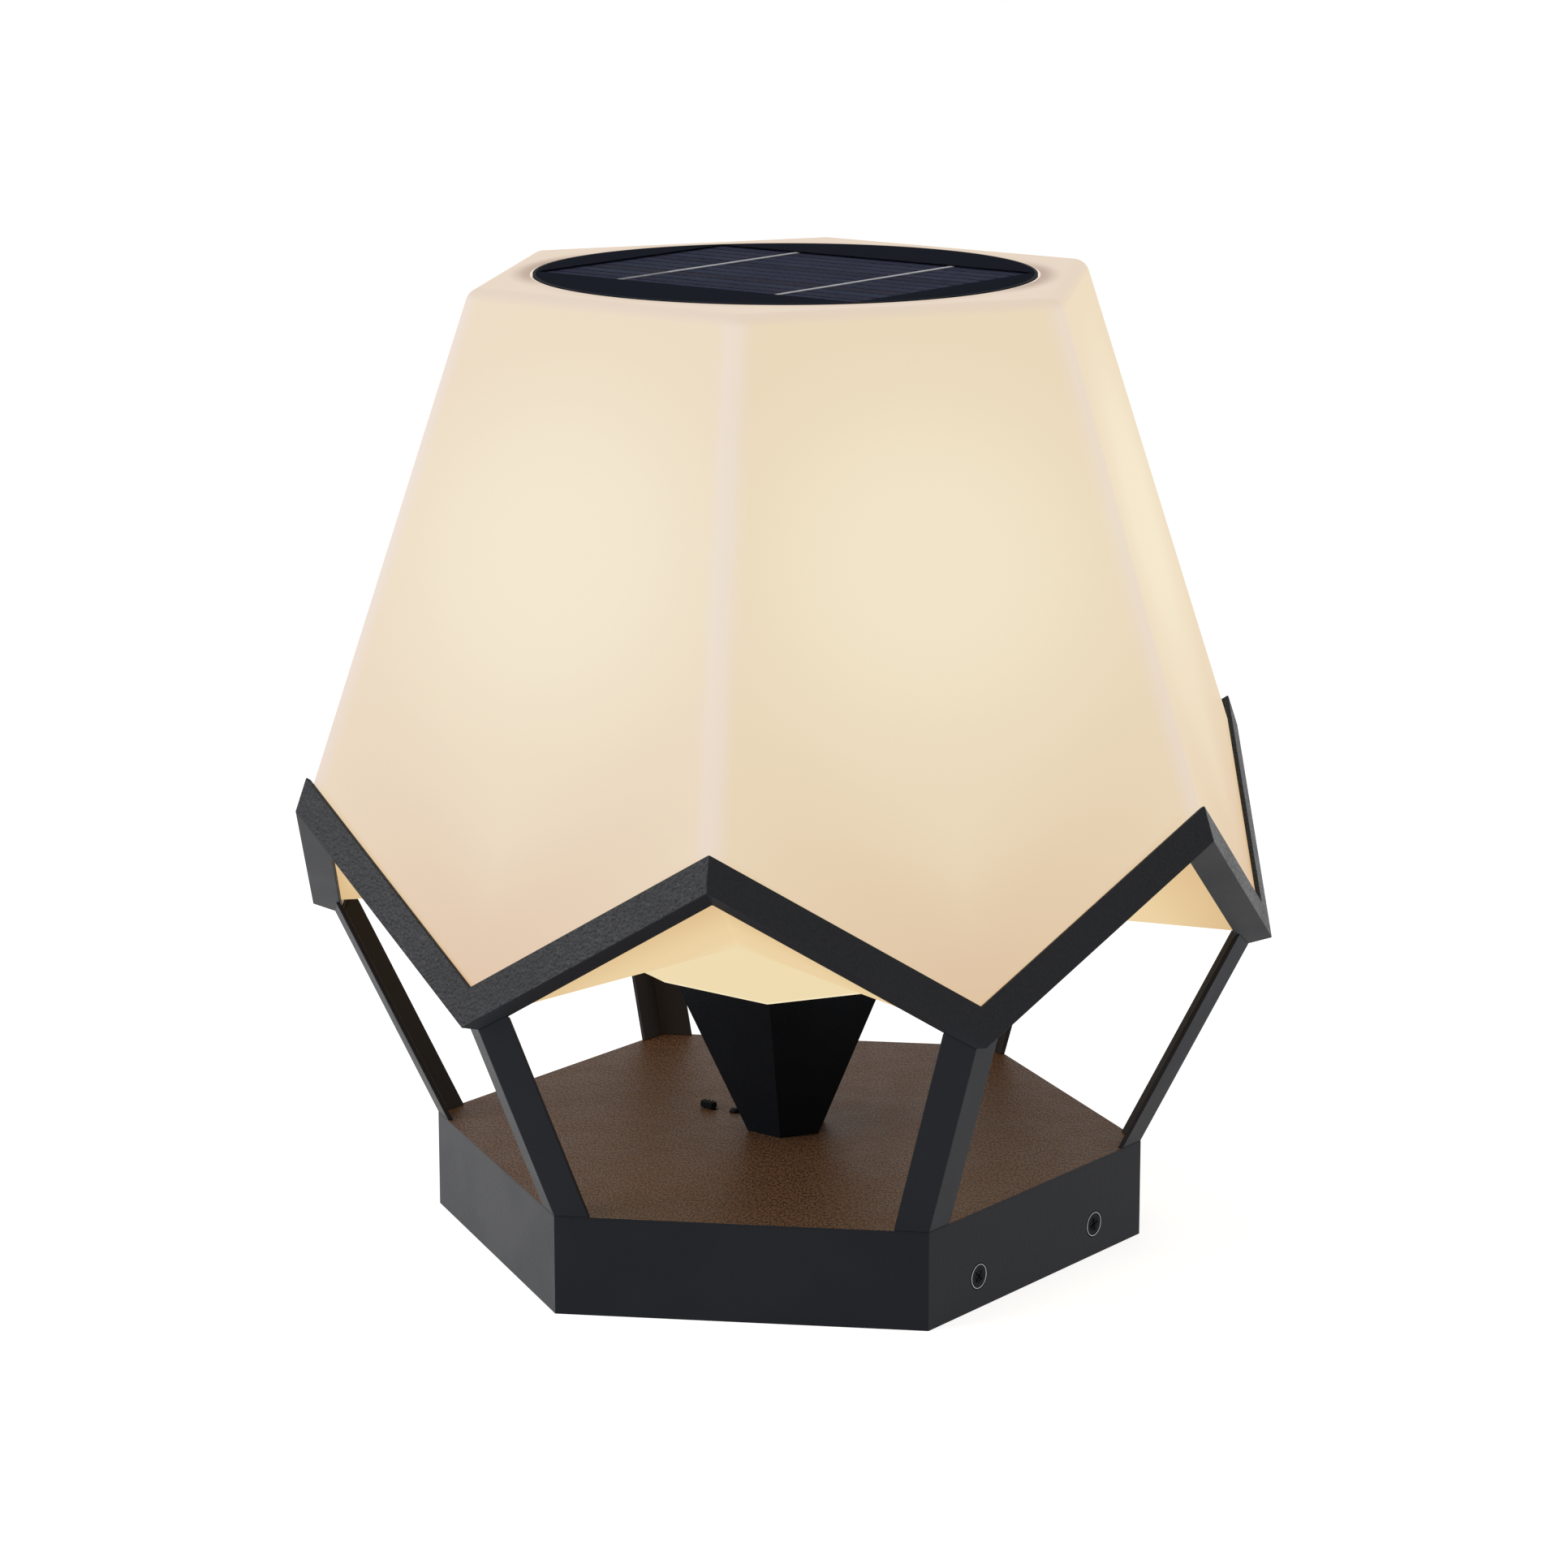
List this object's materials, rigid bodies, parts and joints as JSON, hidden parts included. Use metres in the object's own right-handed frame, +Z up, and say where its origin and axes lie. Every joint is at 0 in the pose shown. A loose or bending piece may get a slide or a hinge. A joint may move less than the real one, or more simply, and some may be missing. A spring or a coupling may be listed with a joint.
{
  "type": "solar post light",
  "caption": "Free-standing faceted solar lantern: opal shade in a zigzag metal belt on folded legs, hexagonal base, tapered post, round solar panel in the top.",
  "frame": {"origin": "middle of the base's underside, on the ground", "axes": "+Z up; base corners and belt valleys at azimuths 0, 60, 120 and so on; the controls lie at azimuth 150"},
  "size_m": [0.2974, 0.3094, 0.2956],
  "materials": {
    "coat": "anthracite fine-textured powder coat on sheet steel and cast post",
    "deck_coat": "dark brown fine-textured powder coat on sheet steel",
    "zinc_plate": "zinc-plated sheet steel",
    "steel": "stainless steel fasteners",
    "dark_screw": "black-coated stainless screws",
    "silicone": "translucent grey silicone seal",
    "opal": "opal diffuser, satin, glowing warm white when lit",
    "brass": "threaded brass tube",
    "aluminium": "aluminium heat spreader",
    "led_laminate": "white circuit board",
    "led_phosphor": "warm white light emitting diodes",
    "panel_frame": "black moulded tray of the solar panel",
    "backsheet": "black backsheet",
    "solar_cell": "dark blue silicon cell strips",
    "busbar": "tinned copper ribbon",
    "panel_glass": "clear film over the cells",
    "white_plastic": "white moulded plastic",
    "black_plastic": "black moulded plastic",
    "button_plastic": "dark moulded button",
    "lead_jacket": "two-core lead, soft jacket",
    "cell_wrap": "shrink-wrapped rechargeable cells",
    "nickel": "nickel-plated spring contacts",
    "board_laminate": "green circuit board"
  },
  "bodies": {
    "root": {"base_skirt": "coat", "base_deck": "deck_coat", "deck_screws": "steel", "mount_plate": "zinc_plate", "skirt_screws": "dark_screw", "shade_gasket": "silicone", "shade_upper": "opal", "shade_lower": "opal", "post_shell": "coat", "post_tube": "brass", "post_washer": "steel", "post_nut": "steel", "led_plate": "aluminium", "led_screws": "steel", "led_board": "led_laminate", "led_chips": "led_phosphor", "panel_tray": "panel_frame", "panel_seal": "silicone", "solar_backsheet": "backsheet", "solar_cells": "solar_cell", "solar_busbars": "busbar", "solar_glass": "panel_glass", "panel_carrier": "white_plastic", "carrier_screws": "steel", "junction_box": "black_plastic", "panel_lead": "lead_jacket", "electronics_tray": "black_plastic", "tray_seal": "silicone", "tray_screws": "steel", "battery_cradle": "black_plastic", "battery_cells": "cell_wrap", "battery_contacts": "nickel", "control_board": "board_laminate", "board_screws": "steel", "wire_connector": "white_plastic", "switch_body": "black_plastic", "button_switch": "black_plastic", "leg_1": "coat", "belt_segment_1": "coat", "leg_2": "coat", "belt_segment_2": "coat", "leg_3": "coat", "belt_segment_3": "coat", "leg_4": "coat", "belt_segment_4": "coat", "leg_5": "coat", "belt_segment_5": "coat", "leg_6": "coat", "belt_segment_6": "coat"},
    "switch_knob": {"switch_knob": "black_plastic"},
    "mode_button": {"mode_button": "button_plastic"}
  },
  "joints": [
    {"name": "switch_slide", "type": "slide", "parent": "root", "child": "switch_knob", "axis": [0.866, -0.5, 0], "range_m": [0, 0.002]},
    {"name": "button_press", "type": "slide", "parent": "root", "child": "mode_button", "axis": [0, 0, -1], "range_m": [0, 0.0005], "stiffness_N_per_m": 400, "springref_m": -0.0005}
  ]
}
